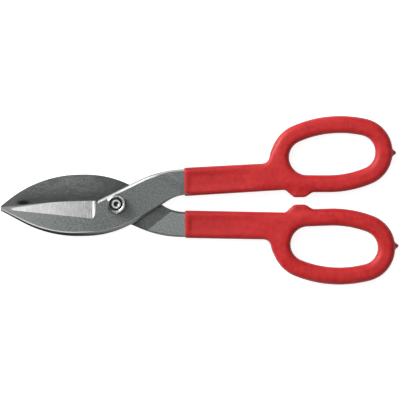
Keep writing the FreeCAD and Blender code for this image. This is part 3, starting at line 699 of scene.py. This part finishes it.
def press_trough(piece, side):
    """A shallow trough along the tang's two flat sides, as deep as the forging under the coating has."""
    for vertex in piece.data.vertices:
        x, y, z = from_pivot(vertex.co, side)
        middle = TROUGH_Y + TROUGH_SLOPE * (x - TROUGH_X)
        across = abs(y - middle) / TROUGH_HALF_WIDTH
        along = smooth_step(x, *TROUGH_START) * (1 - smooth_step(x, *TROUGH_END))
        depth = TROUGH_DEPTH * along * (1 - smooth_step(across, *TROUGH_SIDE))
        if abs(z) > FLAT_SIDE_Z:
            vertex.co.z -= side * math.copysign(depth * MM, z)


def swell_root(piece, side):
    """Moves the bow's outer side toward the mouth, where it grows out of the straight sleeve."""
    for vertex in piece.data.vertices:
        x, y, z = from_pivot(vertex.co, side)
        up = smooth_step(y, *SWELL_START) * (1 - smooth_step(y, *SWELL_END))
        vertex.co.x -= SWELL * MM * up * (1 - smooth_step(x, *SWELL_BACK))


def soften_stretch(piece, side, low, high, rounds, upright):
    """Smooths the part of a grip's skin between two corners in plan."""
    shape = bmesh.new()
    shape.from_mesh(piece.data)
    chosen = []
    for vertex in shape.verts:
        x, y, z = from_pivot(vertex.co, side)
        if low[0] < x < high[0] and low[1] < y < high[1]:
            chosen.append(vertex)
    level = not upright
    for _ in range(rounds):
        bmesh.ops.smooth_vert(
            shape, verts=chosen, factor=0.5, use_axis_x=level, use_axis_y=level, use_axis_z=upright)
    shape.to_mesh(piece.data)
    shape.free()


def make_grip(name, half, body, side):
    """The dipped grip as one soft skin, with blends where the tang, the bow and the stop lug meet."""
    piece = bpy.data.objects.new(f"{name}_dip", filled_copy(name, half))
    bpy.context.scene.collection.objects.link(piece)
    remesh(piece, SKIN_VOXEL)
    smooth_skin(piece, 6)
    cut_at_mouth(piece)
    remesh(piece, FINE_VOXEL)
    press_trough(piece, side)
    swell_root(piece, side)
    for stretch in SOFT_STRETCHES:
        soften_stretch(piece, side, *stretch)
    smooth_skin(piece, 4)
    piece.data.materials.clear()
    piece.data.materials.append(VINYL)
    piece.data.polygons.foreach_set("use_smooth", [True] * len(piece.data.polygons))
    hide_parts(name)
    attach(piece, body)


# ---------------------------------------------------------------- stage

def add_floor():
    """A square floor just under the snips."""
    corners = [
        (-FLOOR_REACH, -FLOOR_REACH, 0),
        (FLOOR_REACH, -FLOOR_REACH, 0),
        (FLOOR_REACH, FLOOR_REACH, 0),
        (-FLOOR_REACH, FLOOR_REACH, 0),
    ]
    mesh = bpy.data.meshes.new("floor")
    mesh.from_pydata(corners, [], [(0, 1, 2, 3)])
    mesh.materials.append(pale_floor())
    floor = bpy.data.objects.new("floor", mesh)
    floor.location.z = -FLOOR_DROP
    floor.visible_diffuse = False
    bpy.context.scene.collection.objects.link(floor)


def add_lamp(name, direction, distance, width, height, power):
    """A soft rectangular lamp that faces the floor's centre."""
    data = bpy.data.lights.new(name, "AREA")
    data.shape = "RECTANGLE"
    data.size = width
    data.size_y = height
    data.energy = power
    lamp = bpy.data.objects.new(name, data)
    away = Vector(direction).normalized()
    lamp.location = away * distance
    lamp.rotation_euler = away.to_track_quat("Z", "Y").to_euler()
    lamp.visible_camera = False
    bpy.context.scene.collection.objects.link(lamp)


def add_world():
    """A faint even white light from everywhere."""
    world = bpy.data.worlds.new("studio")
    world.use_nodes = True
    background = world.node_tree.nodes["Background"]
    background.inputs["Color"].default_value = (1, 1, 1, 1)
    background.inputs["Strength"].default_value = WORLD_STRENGTH
    bpy.context.scene.world = world


def add_camera():
    """A long lens that looks straight down, turned a little so that the snips' axis rises to the right."""
    data = bpy.data.cameras.new("camera")
    data.lens = LENS
    data.sensor_width = SENSOR
    camera = bpy.data.objects.new("camera", data)
    height = VIEW_WIDTH * LENS / SENSOR
    camera.location = (PIVOT.x + VIEW_X, PIVOT.y + VIEW_Y, PIVOT.z + height)
    camera.rotation_euler = (0, 0, VIEW_ROLL)
    bpy.context.scene.collection.objects.link(camera)
    bpy.context.scene.camera = camera


# ---------------------------------------------------------------- the scene

FINISHES = {
    "forged": forged_steel("forged_steel", 1.0),
    "underside": forged_steel("forged_underside", 1.4),
    "lap": lap_steel(),
    "cheek": ground_steel(),
    "shoulder": hollow_shoulder(),
    "bevel": bright_bevel(),
    "spine": spine_steel(),
}
VINYL = dipped_vinyl()
PLATED = plated_steel("plated_steel", 0.52, 0.78)
# a copy with a painted highlight, for the nut
HIGHLIGHT_PLATED = plated_steel("plated_painted_highlight", 0.86, 1.0)
# a copy with painted shade, for the nut
SHADED_PLATED = plated_steel("plated_painted_shade", 0.16, 0.26)
# black nylon for the ring, and painted shade on the bolt's end
NYLON_AND_SHADE = black_nylon()

finish_half("front_half", 1)
finish_half("rear_half", -1)
finish_fastener("pivot_bolt", bolt_finish)
finish_fastener("lock_nut", nut_finish)
finish_fastener("nylon_insert", ring_finish)
make_grip("front_grip", "front_half", "front", 1)
make_grip("rear_grip", "rear_half", "rear", -1)

add_floor()
add_world()
for lamp_settings in LAMPS:
    add_lamp(*lamp_settings)
add_camera()
bpy.context.scene.view_settings.view_transform = "Standard"
